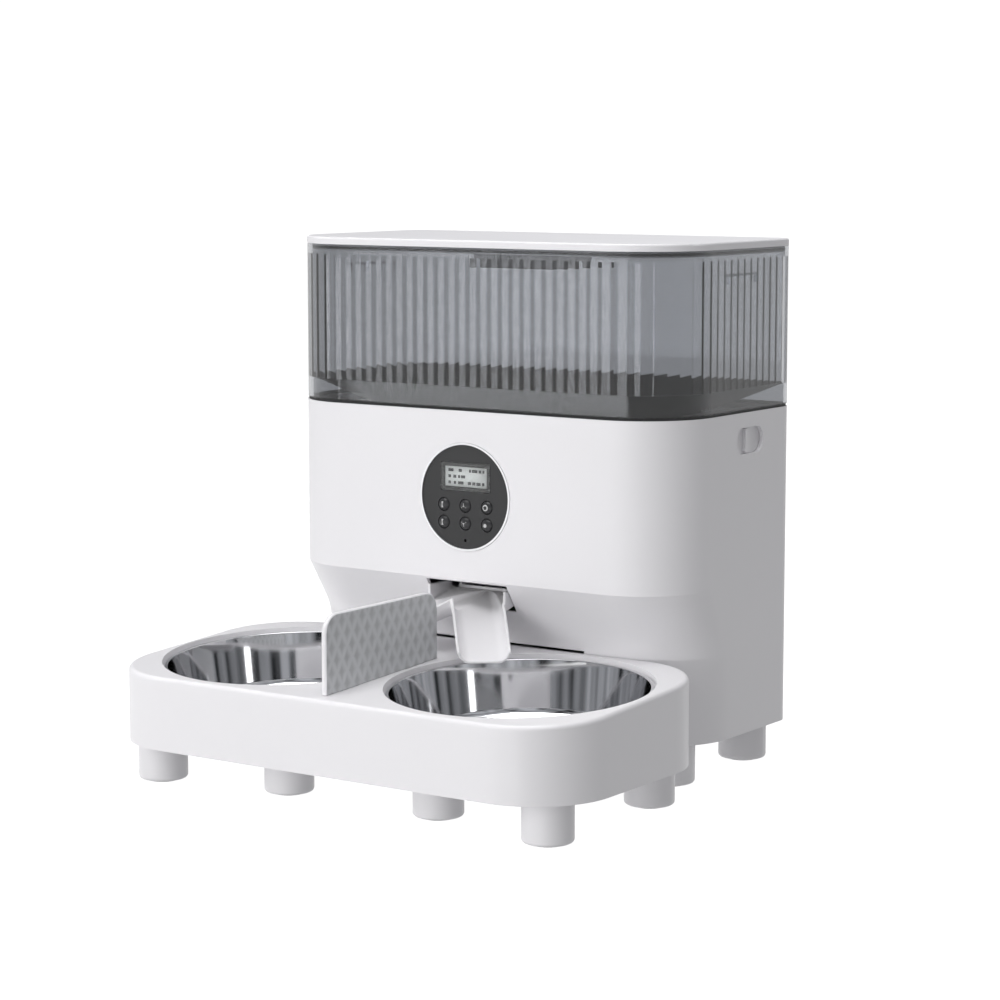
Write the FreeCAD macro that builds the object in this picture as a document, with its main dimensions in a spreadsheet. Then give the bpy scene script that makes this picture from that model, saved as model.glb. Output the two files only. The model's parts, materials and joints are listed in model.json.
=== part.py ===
import FreeCAD, Part
import math
import os

Vector = FreeCAD.Vector

# Two-bowl automatic pet feeder.  Millimetres, +Z up, +X to the right seen from the front.
# The housing's front face lies on Y = 0, the tray reaches out towards -Y, and Z = 0 is the floor.

os.makedirs("parts", exist_ok=True)
doc = FreeCAD.newDocument("pet_feeder")
sheet = doc.addObject("Spreadsheet::Sheet", "dim")

SIZES = (
    # housing, the white body
    ("body_width", 320, "housing width"),
    ("body_depth", 165, "housing depth"),
    ("front_corner", 52, "radius of the two front upright corners"),
    ("rear_corner", 14, "radius of the two rear upright corners"),
    ("body_wall", 3, "housing wall"),
    ("foot_height", 28, "height of the feet"),
    ("body_top", 246, "top of the housing above the floor"),
    ("lip_height", 131.6, "lower edge of the overhanging front face"),
    ("recess_drop", 46, "height over which the recess runs back"),
    ("recess_depth", 24.5, "how far the lower front stands back"),
    ("gap", 0.4, "clearance between pieces that part by hand"),
    ("seat", 0.2, "clearance between fixed pieces"),
    # hopper and lid
    ("seal_height", 2, "black seal under the hopper"),
    ("tank_height", 107, "clear hopper"),
    ("tank_wall", 3.2, "hopper wall at the root of the flutes"),
    ("flute_pitch", 8.6, "spacing of the flutes inside the hopper"),
    ("flute_depth", 0.45, "height of the flutes"),
    ("funnel_rim", 14, "funnel rim above the hopper's lower edge"),
    ("funnel_drop", 50, "height of the funnel"),
    ("funnel_wall", 2.5, "funnel wall"),
    ("lid_height", 5, "lid thickness"),
    ("lid_edge", 1.6, "rounding of the lid's upper edge"),
    ("plug_height", 4, "rim under the lid that enters the hopper"),
    ("plug_wall", 2.4, "wall of that rim"),
    ("plug_play", 0.8, "rim under the lid from the hopper's wall"),
    ("seal_drop", 3.2, "lower edge of the lid seal's groove below the lid"),
    ("seal_groove", 1.8, "height of that groove"),
    ("seal_play", 0.1, "lid seal from its groove, above and below"),
    # dispenser
    ("drum_y", 98, "drum axis behind the front face"),
    ("drum_radius", 48, "drum, outside"),
    ("drum_wall", 2.5, "drum wall"),
    ("drum_height", 40, "drum, outside"),
    ("funnel_outlet", 40, "outlet radius of the funnel, inside"),
    ("vane_height", 30, "rotor vanes"),
    ("vane_thick", 2.4, "rotor vane thickness"),
    ("vane_count", 6, "rotor vanes"),
    ("hub_radius", 13, "rotor hub"),
    ("shaft_radius", 3, "rotor shaft"),
    ("running", 0.05, "radial clearance of a running shaft"),
    ("gear_teeth", 40, "drive gear"),
    ("pinion_teeth", 12, "motor pinion"),
    ("tooth_module", 1, "gear module"),
    ("gear_height", 6, "gear face width"),
    ("duct_width", 52, "outlet duct, outside"),
    ("duct_depth", 26, "outlet duct, outside"),
    ("duct_mouth", 16, "height of the duct's open front"),
    # control panel
    ("panel_height", 188, "centre of the round control panel"),
    ("panel_radius", 36.6, "control panel with its bright ring"),
    ("bezel_width", 1.3, "bright ring"),
    ("fascia_thick", 2.4, "dark fascia"),
    ("fascia_set", 0.6, "fascia behind the housing's face"),
    ("screen_width", 40.8, "display window"),
    ("screen_height", 19.4, "display window"),
    ("screen_rise", 13.4, "display centre above the panel centre"),
    ("button_radius", 4.4, "buttons"),
    ("button_pitch", 17.6, "button columns"),
    ("button_row", 12, "button rows"),
    ("button_drop", 6, "upper button row below the panel centre"),
    ("button_travel", 0.8, "button stroke"),
    # chute
    ("slot_width", 66, "chute opening in the recess"),
    ("slot_height", 19, "height of the chute opening"),
    ("leg_width", 36, "each chute leg, outside"),
    ("chute_origin", 12, "where the legs' middle lines meet, behind the front face"),
    ("leg_reach", 79, "chute leg, from there to its mouth"),
    ("leg_start", 30, "chute leg behind that place"),
    ("leg_level", 10, "where a leg's side wall stops rising"),
    ("leg_round", 9, "rounding of the trough's lower corners"),
    ("mouth_side", 8, "side wall at the mouth"),
    ("slot_play", 1, "chute from each side of its opening"),
    ("duct_play", 1, "gap between chute and duct"),
    ("leg_turn", 39.3, "angle between a leg and straight ahead"),
    ("leg_wall", 2, "chute wall"),
    ("leg_top", 126, "top of the chute's side walls"),
    ("mouth_height", 87, "underside of the chute's mouth"),
    ("leg_fall", 28, "fall of the chute floor"),
    # tray, bowls and divider
    ("tray_width", 370, "tray width"),
    ("tray_reach", 165, "tray front edge before the housing's face"),
    ("tray_corner", 54, "tray upright corners"),
    ("tray_front", 49, "tray height at the front"),
    ("tray_rise", 9.5, "how much higher its rear edge is"),
    ("tray_wall", 3, "tray wall"),
    ("tray_edge", 3, "rounding of the tray's upper edge"),
    ("tray_floor", 2.5, "tray floor"),
    ("tongue_width", 150, "tray tongue that enters the housing"),
    ("tongue_reach", 14, "tray tongue length"),
    ("tongue_thick", 3, "tray tongue"),
    ("bowl_radius", 83.5, "bowl rim, inside"),
    ("bowl_pitch", 185.4, "distance between the bowl centres"),
    ("bowl_depth", 36, "bowl, inside"),
    ("bowl_taper", 4, "how much narrower the bowl's floor is, in radius"),
    ("bowl_round", 6, "rounding between the bowl's wall and floor"),
    ("bowl_sink", 4.2, "seat of the bowl's rim below the tray's surface"),
    ("bowl_play", 0.8, "bowl from the tray all round"),
    ("bowl_wall", 0.8, "bowl sheet"),
    ("bowl_flange", 3, "flat rim around the bowl"),
    ("rim_thick", 1.3, "rolled rim of the bowl"),
    ("divider_length", 120, "divider plate"),
    ("divider_height", 48, "divider above the tray"),
    ("divider_thick", 4, "divider plate"),
    ("divider_front", 10.5, "divider behind the tray's front edge"),
    ("divider_corner", 12, "divider's upper corners"),
    ("tenon", 7, "divider tenons below the tray's surface"),
    ("tenon_length", 20, "divider tenons"),
    ("tenon_set", 0.5, "tenon narrower than the plate on each side"),
    # feet
    ("foot_radius", 16.5, "feet"),
    ("foot_round", 2.5, "rounding of a foot's lower edge"),
    ("pad_radius", 11, "rubber pad under a foot"),
    ("pad_height", 2.5, "rubber pad"),
    # side latches
    ("latch_y", 104, "latch recess centre behind the front face"),
    ("latch_z", 227, "latch recess centre height"),
    ("latch_length", 36, "latch recess"),
    ("latch_tall", 18, "latch recess"),
    ("latch_travel", 8, "latch slide towards the rear"),
    # battery bay and inlet
    ("cell_radius", 17, "D cell"),
    ("cell_length", 60, "D cell without its nub"),
    ("bay_y", 68, "front of the battery bay"),
    ("bay_length", 70, "battery bay, inside"),
    ("bay_wall", 2, "battery bay"),
    ("plate_thick", 3, "base plate"),
    ("door_thick", 2, "battery door"),
    ("door_side", 3, "battery door beyond the bay on each side"),
    ("door_tongue", 2, "battery door's side tongues"),
    ("inlet_x", 60, "power inlet from the middle"),
    ("inlet_z", 92, "power inlet height"),
    ("inlet_radius", 5.5, "power inlet barrel"),
)
for row, (alias, value, note) in enumerate(SIZES, 1):
    sheet.set("A%d" % row, note)
    sheet.set("B%d" % row, str(value))
    sheet.setAlias("B%d" % row, alias)
doc.recompute()

nodes = []
BAY = "(6 * dim.cell_radius + 4)"


# ---------------------------------------------------------------- helpers

def size(alias):
    """The value of one named cell, for shapes that Part's functions build."""
    return float(sheet.get(alias))


def bind(obj, **expressions):
    """Tie properties to the sheet.  x, y and z stand for the placement's base."""
    for name, expression in expressions.items():
        path = "Placement.Base." + name if name in ("x", "y", "z") else name
        obj.setExpression(path, str(expression))
    return obj


def box(name, x, y, z, length, width, height):
    """A box whose lowest corner is at x, y, z."""
    return bind(doc.addObject("Part::Box", name), x=x, y=y, z=z,
                Length=length, Width=width, Height=height)


AXES = {"z": (Vector(0, 0, 1), 0), "y": (Vector(1, 0, 0), -90), "x": (Vector(0, 1, 0), 90)}


def cylinder(name, x, y, z, radius, height, axis="z"):
    """A cylinder that starts at x, y, z and runs along an axis."""
    turned, angle = AXES[axis]
    obj = doc.addObject("Part::Cylinder", name)
    obj.Placement = FreeCAD.Placement(Vector(), FreeCAD.Rotation(turned, angle))
    return bind(obj, x=x, y=y, z=z, Radius=radius, Height=height)


def cone(name, x, y, z, lower, upper, height):
    return bind(doc.addObject("Part::Cone", name), x=x, y=y, z=z,
                Radius1=lower, Radius2=upper, Height=height)


def fuse(name, *pieces):
    obj = doc.addObject("Part::MultiFuse", name)
    obj.Shapes = list(pieces)
    return obj


def cut(name, base, *tools):
    """The base with every tool taken away."""
    obj = doc.addObject("Part::Cut", name)
    obj.Base = base
    obj.Tool = tools[0] if len(tools) == 1 else fuse(name + "_tools", *tools)
    return obj


def solid(name, shape):
    """A feature whose shape Part's functions made from the sheet's values."""
    obj = doc.addObject("Part::Feature", name)
    obj.Shape = shape
    return obj


def node(obj, label):
    """Hand the object in as a piece of its own."""
    obj.Label = label
    nodes.append(obj)
    return obj


def plate(name, x, y, z, length, width, height, front="0", rear="0", top="0"):
    """A PartDesign plate with rounded upright corners and a rounded upper edge."""
    body = doc.addObject("PartDesign::Body", name)
    block = body.newObject("PartDesign::AdditiveBox", name + "_block")
    bind(block, Length=length, Width=width, Height=height)
    body.Tip = block
    bind(body, x=x, y=y, z=z)
    doc.recompute()
    middle = block.Shape.BoundBox.Center
    last = round_edges(body, block, name + "_front", front,
                       lambda edge, c: upright(edge) and c.y < middle.y)
    last = round_edges(body, last, name + "_rear", rear,
                       lambda edge, c: upright(edge) and c.y > middle.y)
    highest = block.Shape.BoundBox.ZMax
    round_edges(body, last, name + "_top", top, lambda edge, c: abs(c.z - highest) < 1e-6)
    return body


def upright(edge):
    """True for a straight edge along Z."""
    direction = edge.tangentAt(edge.FirstParameter)
    return abs(abs(direction.z) - 1) < 1e-6 and edge.BoundBox.ZLength > 0.5


def round_edges(body, feature, name, radius, wanted):
    """Fillet the wanted edges of a feature, unless the radius is the text 0."""
    if radius == "0":
        return feature
    names = []
    for index, edge in enumerate(feature.Shape.Edges, 1):
        if wanted(edge, edge.CenterOfMass):
            names.append("Edge%d" % index)
    fillet = body.newObject("PartDesign::Fillet", name)
    fillet.Base = (feature, names)
    bind(fillet, Radius=radius)
    body.Tip = fillet
    doc.recompute()
    return fillet


def outline(half, front, rear, front_radius, rear_radius, z):
    """A closed rounded rectangle, symmetric about X = 0, at height z."""
    points, arcs = [], []
    corners = ((-half, rear, rear_radius, 90), (-half, front, front_radius, 180),
               (half, front, front_radius, 270), (half, rear, rear_radius, 0))
    for x, y, radius, start in corners:
        centre = Vector(x - math.copysign(radius, x), y - math.copysign(radius, y - (front + rear) / 2),
                        z)
        angles = [math.radians(start + step) for step in (0, 45, 90)]
        ring = [centre + Vector(radius * math.cos(a), radius * math.sin(a), 0) for a in angles]
        arcs.append(Part.Arc(*ring).toShape())
        points.append((ring[0], ring[2]))
    edges = []
    for index, arc in enumerate(arcs):
        edges.append(arc)
        edges.append(Part.makeLine(points[index][1], points[(index + 1) % 4][0]))
    return Part.Wire(edges)


def prism(wire, height):
    return Part.Face(wire).extrude(Vector(0, 0, height))


# ---------------------------------------------------------------- housing

def recess_setback(z):
    """How far the front stands back at height z: a slope that ends in a tangent curve."""
    share = (size("lip_height") - z) / size("recess_drop")
    bend = 0.6
    slope = 1 / (bend + (1 - bend) / 2)
    if share <= 0:
        return 0.0
    if share >= 1:
        return size("recess_depth")
    if share <= bend:
        return size("recess_depth") * slope * share
    left = 1 - share
    return size("recess_depth") * (1 - slope * left * left / (2 * (1 - bend)))


def housing_block(inset):
    """The housing's outside, or its inside when inset is the wall."""
    half = size("body_width") / 2 - inset
    rear = size("body_depth") - inset
    radii = (size("front_corner") - inset, size("rear_corner") - inset)
    bottom, top, lip = size("foot_height"), size("body_top"), size("lip_height")
    level = lip - size("recess_drop")

    def section(z):
        return outline(half, inset + recess_setback(z), rear, radii[0], radii[1], z)

    upper = prism(section(lip), top - lip)
    heights = [lip - size("recess_drop") * step / 8 for step in range(9)]
    slope = Part.makeLoft([section(z) for z in heights], True, False)
    lower = prism(section(level), bottom - level)
    return upper.fuse([slope, lower])


def stadium(name, x, y, z, depth, length, tall):
    """A flat-sided slot with round ends, on a plane of constant X, from x over depth."""
    straight = "(%s) - (%s)" % (length, tall)
    middle = box(name + "_mid", x, "(%s) - (%s) / 2" % (y, straight), "(%s) - (%s) / 2" % (z, tall),
                 depth, straight, tall)
    ends = [cylinder(name + "_end%d" % sign, x, "(%s) + %d * (%s) / 2" % (y, sign, straight), z,
                     "(%s) / 2" % tall, depth, "x") for sign in (-1, 1)]
    return fuse(name, middle, *ends)


def housing():
    outer = solid("housing_outside", housing_block(0))
    inner_shape = housing_block(size("body_wall"))
    deep = inner_shape.fuse([prism(outline(size("body_width") / 2 - size("body_wall"),
                                           size("recess_depth") + size("body_wall"),
                                           size("body_depth") - size("body_wall"),
                                           size("front_corner") - size("body_wall"),
                                           size("rear_corner") - size("body_wall"),
                                           size("foot_height") - 1), 4)])
    inner = solid("housing_inside", deep)
    panel_hole = cylinder("panel_hole", 0, "-1", "dim.panel_height", "dim.panel_radius + dim.seat",
                          "dim.body_wall + 2", "y")
    chute_slot = box("chute_slot", "-dim.slot_width / 2", "-1", "dim.lip_height - 1.5 - dim.slot_height",
                     "dim.slot_width", "dim.recess_depth + dim.body_wall + 2", "dim.slot_height")
    tongue_slot = box("tongue_slot", "-(dim.tongue_width + 10) / 2", "dim.recess_depth - 3",
                      "dim.foot_height + dim.tray_front + dim.tray_rise - 3 - dim.tongue_thick - 1",
                      "dim.tongue_width + 10", "dim.body_wall + 6", "dim.tongue_thick + 5")
    inlet_hole = cylinder("inlet_hole", "dim.inlet_x", "dim.body_depth - dim.body_wall - 1",
                          "dim.inlet_z",
                          "dim.inlet_radius + dim.seat", "dim.body_wall + 2", "y")
    latch_slots = []
    for side, start in (("left", "-dim.body_width / 2 - 1"),
                        ("right", "dim.body_width / 2 - dim.body_wall - 1")):
        latch_slots.append(stadium("latch_slot_" + side, start, "dim.latch_y", "dim.latch_z",
                                   "dim.body_wall + 2", "dim.latch_length", "dim.latch_tall"))
    node(cut("housing_cut", outer, inner, panel_hole, chute_slot, tongue_slot, inlet_hole,
             door_way("rear"), *latch_slots),
         "housing_shell")


def deck():
    """The rim inside the housing's top that the hopper stands on."""
    rim = solid("deck_rim", prism(outline(size("body_width") / 2 - size("body_wall") - size("seat"),
                                          size("body_wall") + size("seat"),
                                          size("body_depth") - size("body_wall") - size("seat"),
                                          size("front_corner") - size("body_wall"),
                                          size("rear_corner") - size("body_wall"),
                                          size("body_top") - 4), 4))
    opening = plate("deck_opening", "-dim.body_width / 2 + 24", "16", "dim.body_top - 6",
                    "dim.body_width - 48", "dim.body_depth - 24", "8", "30", "8")
    node(cut("deck_cut", rim, opening), "hopper_deck")


def base_plate():
    floor = solid("base_floor", prism(outline(size("body_width") / 2 - size("body_wall") - size("seat"),
                                              size("recess_depth") + size("body_wall") + size("seat"),
                                              size("body_depth") - size("body_wall") - size("seat"),
                                              size("front_corner") - size("body_wall"),
                                              size("rear_corner") - size("body_wall"),
                                              size("foot_height")), size("plate_thick")))
    opening = box("bay_opening", "-%s / 2" % BAY, "dim.bay_y", "dim.foot_height - 1", BAY,
                  "dim.bay_length",
                  "dim.plate_thick + 2")
    node(cut("base_cut", floor, opening, door_way("base")), "base_plate")
    node(cut("door_cut", door_shape("door", "dim.gap", "dim.body_depth - dim.bay_y + dim.door_side"),
             *door_grips()), "battery_door")


def door_shape(name, inset, length):
    """The battery door: a plate with a tongue along each side, or the way it slides in."""
    parts = []
    for part, side, low, high in (("plate", "dim.door_side", "0", "dim.door_thick"),
                                  ("tongue", "(dim.door_side + dim.door_tongue)", "dim.door_thick / 2",
                                   "dim.door_thick")):
        edge = "(%s / 2 + %s - %s)" % (BAY, side, inset)
        parts.append(box("%s_%s" % (name, part), "-" + edge, "dim.bay_y - dim.door_side + %s" % inset,
                         "dim.foot_height + %s" % low, "2 * " + edge,
                         "%s - %s" % (length, inset), "%s - %s" % (high, low)))
    return fuse(name + "_all", *parts)


def door_way(name):
    """The room for the door, with its clearance, open to the rear and below."""
    lower = box(name + "_way_low", "-(%s / 2 + dim.door_side)" % BAY, "dim.bay_y - dim.door_side",
                "dim.foot_height - 1",
                BAY + " + 2 * dim.door_side", "dim.body_depth", "dim.door_thick + 1 + dim.seat")
    upper = box(name + "_way_high", "-(%s / 2 + dim.door_side + dim.door_tongue)" % BAY,
                "dim.bay_y - dim.door_side",
                "dim.foot_height + dim.door_thick / 2 - dim.seat",
                BAY + " + 2 * (dim.door_side + dim.door_tongue)",
                "dim.body_depth", "dim.door_thick / 2 + 2 * dim.seat")
    return fuse(name + "_way", lower, upper)


def door_grips():
    return [box("door_grip%d" % k, "-12", "dim.body_depth - 22 + %d * 3" % k, "dim.foot_height - 1",
                "24", "1.2", "1.7")
            for k in range(3)]


housing()
deck()
base_plate()


# ---------------------------------------------------------------- battery bay, boards and inlet

def battery_bay():
    top = "dim.foot_height + dim.plate_thick + dim.seat"
    outside = box("bay_outside", "-%s / 2 - dim.bay_wall" % BAY, "dim.bay_y - dim.bay_wall", top,
                  BAY + " + 2 * dim.bay_wall", "dim.bay_length + 2 * dim.bay_wall",
                  "2 * dim.cell_radius + 4 + dim.bay_wall")
    inside = box("bay_inside", "-%s / 2" % BAY, "dim.bay_y", "dim.foot_height", BAY, "dim.bay_length",
                 "dim.plate_thick + dim.seat + 2 * dim.cell_radius + 4")
    node(cut("bay_cut", outside, inside), "battery_box")
    cells, plates = [], []
    for k in (-1, 0, 1):
        x = "%d * (2 * dim.cell_radius + 1)" % k
        z = top + " + dim.cell_radius + 1"
        can = cylinder("can%d" % k, x, "dim.bay_y + 5", z, "dim.cell_radius - 0.3", "dim.cell_length",
                       "y")
        nub = cylinder("nub%d" % k, x, "dim.bay_y + 5 + dim.cell_length", z, "4.5", "1.6", "y")
        cells.append(fuse("cell%d" % k, can, nub))
        plates.append(box("spring_plate%d" % k, x + " - 11", "dim.bay_y + 0.1", z + " - 11", "22", "0.8",
                          "22"))
        coil = cut("coil_cut%d" % k, cone("coil%d" % k, x, "dim.bay_y + 1", z, "9", "5", "3.8"),
                   cone("coil_in%d" % k, x, "dim.bay_y + 1", z, "7.8", "3.8", "3.8"))
        for part in (coil.Base, coil.Tool):
            turn = FreeCAD.Rotation(Vector(1, 0, 0), -90)
            part.Placement = FreeCAD.Placement(part.Placement.Base, turn)
        plates.append(coil)
        plates.append(box("plus_plate%d" % k, x + " - 9", "dim.bay_y + dim.bay_length - 1", z + " - 9",
                          "18", "0.8", "18"))
    node(fuse("cells", *cells), "batteries")
    node(fuse("contacts", *plates), "battery_contacts")


def power_inlet():
    barrel = cylinder("inlet_barrel", "dim.inlet_x", "dim.body_depth - 14", "dim.inlet_z",
                      "dim.inlet_radius", "14", "y")
    block = box("inlet_block", "dim.inlet_x - 8", "dim.body_depth - dim.body_wall - 12",
                "dim.inlet_z - 8", "16", "12 - dim.seat", "16")
    bore = cylinder("inlet_bore", "dim.inlet_x", "dim.body_depth - 11", "dim.inlet_z", "2.9", "12", "y")
    pin = cylinder("inlet_pin", "dim.inlet_x", "dim.body_depth - 12", "dim.inlet_z", "1", "10", "y")
    shell = cut("inlet_cut", fuse("inlet_mass", barrel, block), bore)
    node(fuse("inlet", shell, pin), "power_inlet")
    node(box("board", "-70", "dim.body_depth - dim.body_wall - 16", "dim.inlet_z - 14", "120", "1.6",
             "52"), "main_board")
    chips = [box("chip%d" % k, "-58 + %d * 26" % k, "dim.body_depth - dim.body_wall - 19",
                 "dim.inlet_z + 2 + %d" % (k % 2 * 14), "14 - %d" % (k * 2), "2.9", "10") for k in range(4)]
    node(fuse("chips", *chips), "board_chips")


battery_bay()
power_inlet()


# ---------------------------------------------------------------- dispenser

DRUM_TOP = "(dim.body_top + dim.seal_height + dim.funnel_rim - dim.funnel_drop - 1.5)"
DRUM_BOTTOM = "(%s - dim.drum_height)" % DRUM_TOP


def drum():
    outer = cylinder("drum_outside", 0, "dim.drum_y", DRUM_BOTTOM, "dim.drum_radius", "dim.drum_height")
    inner = cylinder("drum_inside", 0, "dim.drum_y", DRUM_BOTTOM + " + dim.drum_wall",
                     "dim.drum_radius - dim.drum_wall", "dim.drum_height")
    hole = cylinder("drum_shaft_hole", 0, "dim.drum_y", DRUM_BOTTOM + " - 1", "dim.shaft_radius + 2",
                    "dim.drum_wall + 2")
    exit_hole = box("drum_exit", "-dim.duct_width / 2 + 2", "dim.drum_y - dim.drum_radius + 6",
                    DRUM_BOTTOM + " - 1",
                    "dim.duct_width - 4", "dim.duct_depth - 4", "dim.drum_wall + 2")
    node(cut("drum_cut", outer, inner, hole, exit_hole), "dispenser_drum")
    bush = cylinder("bush_body", 0, "dim.drum_y", DRUM_BOTTOM, "dim.shaft_radius + 2", "dim.drum_wall")
    bore = cylinder("bush_bore", 0, "dim.drum_y", DRUM_BOTTOM + " - 1", "dim.shaft_radius + dim.running",
                    "dim.drum_wall + 2")
    node(cut("bush_cut", bush, bore), "shaft_bush")


def rotor():
    floor = DRUM_BOTTOM + " + dim.drum_wall + 1"
    hub = cone("hub_body", 0, "dim.drum_y", floor, "dim.hub_radius", "dim.hub_radius - 5",
               "dim.vane_height + 2")
    bore = cylinder("hub_bore", 0, "dim.drum_y", floor + " - 1", "dim.shaft_radius",
                    "dim.vane_height - 4")
    node(cut("hub_cut", hub, bore), "rotor_hub")
    count = int(size("vane_count"))
    blades = []
    for k in range(count):
        blade = box("blade%d" % k, 0, 0, 0, "dim.drum_radius - dim.drum_wall - 1.2", "dim.vane_thick",
                    "dim.vane_height")
        turn = FreeCAD.Rotation(Vector(0, 0, 1), 360.0 * k / count + 30)
        blade.Placement = FreeCAD.Placement(Vector(), turn)
        bind(blade, y="dim.drum_y", z=floor)
        blades.append(blade)
    clear = cone("vane_clear", 0, "dim.drum_y", floor, "dim.hub_radius", "dim.hub_radius - 5",
                 "dim.vane_height + 2")
    node(cut("vanes_cut", fuse("blades", *blades), clear), "rotor_vanes")
    node(cylinder("shaft", 0, "dim.drum_y", DRUM_BOTTOM + " - 14", "dim.shaft_radius",
                  "14 + dim.drum_wall + 1 + dim.vane_height - 5"), "rotor_shaft")


def gear_shape(teeth, module, height, bore):
    """A spur gear with straight-flanked teeth and room in the mesh, and a tooth on +X."""
    pitch = teeth * module / 2.0
    root, tip = pitch - 1.25 * module, pitch + 0.9 * module
    step = 2 * math.pi / teeth
    points = []
    for k in range(teeth):
        for radius, share in ((root, -0.31), (pitch, -0.22), (tip, -0.11), (tip, 0.11), (pitch, 0.22),
                              (root, 0.31)):
            angle = (k + share) * step
            points.append(Vector(radius * math.cos(angle), radius * math.sin(angle), 0))
    wire = Part.makePolygon(points + [points[0]])
    blank = Part.Face(wire).extrude(Vector(0, 0, height))
    return blank.cut(Part.makeCylinder(bore, height + 2, Vector(0, 0, -1)))


def gears():
    drive = solid("gear", gear_shape(int(size("gear_teeth")), size("tooth_module"), size("gear_height"),
                                     size("shaft_radius")))
    node(bind(drive, y="dim.drum_y", z=DRUM_BOTTOM + " - 12"), "drive_gear")
    pinion_shape = gear_shape(int(size("pinion_teeth")), size("tooth_module"), size("gear_height"), 1.5)
    half_tooth = 180.0 / size("pinion_teeth")
    pinion_shape.rotate(Vector(), Vector(0, 0, 1), half_tooth)
    centre_x = "(dim.gear_teeth + dim.pinion_teeth) * dim.tooth_module / 2"
    node(bind(solid("pinion_body", pinion_shape), x=centre_x, y="dim.drum_y", z=DRUM_BOTTOM + " - 12"),
         "motor_pinion")
    node(cylinder("motor_shaft_body", centre_x, "dim.drum_y", DRUM_BOTTOM + " - 20", "1.5", "14"),
         "motor_shaft")
    gearbox = plate("gearbox", centre_x + " - 14", "dim.drum_y - 12", DRUM_BOTTOM + " - 38", "34", "24",
                    "20", "3", "3")
    can = cylinder("motor_can", centre_x + " + 4", "dim.drum_y", DRUM_BOTTOM + " - 66", "10", "28")
    bore = cylinder("gearbox_bore", centre_x, "dim.drum_y", DRUM_BOTTOM + " - 24", "1.5 + dim.running",
                    "10")
    node(cut("motor_cut", fuse("motor_mass", gearbox, can), bore), "gear_motor")


def motor_bracket():
    centre_x = "(dim.gear_teeth + dim.pinion_teeth) * dim.tooth_module / 2"
    web = plate("bracket_web", "-20", "dim.drum_y - 15", DRUM_BOTTOM + " - 16", "78", "30", "2", "4", "4")
    window = cylinder("bracket_window", 0, "dim.drum_y", DRUM_BOTTOM + " - 17", "dim.shaft_radius + 2",
                      "4")
    boss = cylinder("bracket_boss", centre_x, "dim.drum_y", DRUM_BOTTOM + " - 17", "4", "4")
    posts = [cylinder("bracket_post%d" % k, x, y, DRUM_BOTTOM + " - 14", "2.6", "14 - dim.seat")
             for k, (x, y) in enumerate((("-16", "dim.drum_y - 11"), ("-16", "dim.drum_y + 11"),
                                         ("42", "dim.drum_y - 11"), ("42", "dim.drum_y + 11")))]
    keep = cylinder("bracket_clear", 0, "dim.drum_y", DRUM_BOTTOM + " - 13", "22", "8")
    held = cut("bracket_cut", fuse("bracket_mass", web, *posts), window, boss, keep)
    node(held, "motor_bracket")
    screws = []
    for k, y in enumerate(("dim.drum_y - 8", "dim.drum_y + 8")):
        head = cylinder("motor_screw_head%d" % k, "50", y, DRUM_BOTTOM + " - 14", "2.6", "1.8")
        screws.append(head)
    node(fuse("motor_screws_all", *screws), "motor_screws")


def duct():
    """A sloping tube from the drum's floor to the chute opening."""
    half, wall = size("duct_width") / 2, 2.0
    top_z = size("body_top") + size("seal_height") + size("funnel_rim") - size("funnel_drop") - 1.5
    top_z -= size("drum_height") + size("seat")
    rear_y = size("drum_y") - size("drum_radius") + 4
    front_y = chute_rear() + size("duct_play")
    low_z = chute_floor(front_y) + 1

    def ring(inset, z, y, depth):
        points = [Vector(sx * (half - inset), y + sy, z) for sx, sy in
                  ((-1, inset), (1, inset), (1, depth - inset), (-1, depth - inset))]
        return Part.makePolygon(points + [points[0]])

    depth = size("duct_depth")
    sections = ((top_z, rear_y, depth), (low_z, front_y, depth * 0.75))
    outer = Part.makeLoft([ring(0, *section) for section in sections], True, True)
    over = 1.0
    inner = Part.makeLoft([ring(wall, z, y, d) for z, y, d in sections], True, True)
    mouth = Part.makeBox(2 * half - 2 * wall, depth * 0.75 - wall + over, size("duct_mouth"),
                         Vector(-half + wall, front_y - over, low_z + wall))
    node(solid("duct_body", outer.cut(inner).cut(mouth)), "outlet_duct")


drum()
rotor()
gears()
motor_bracket()


# ---------------------------------------------------------------- control panel

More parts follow.
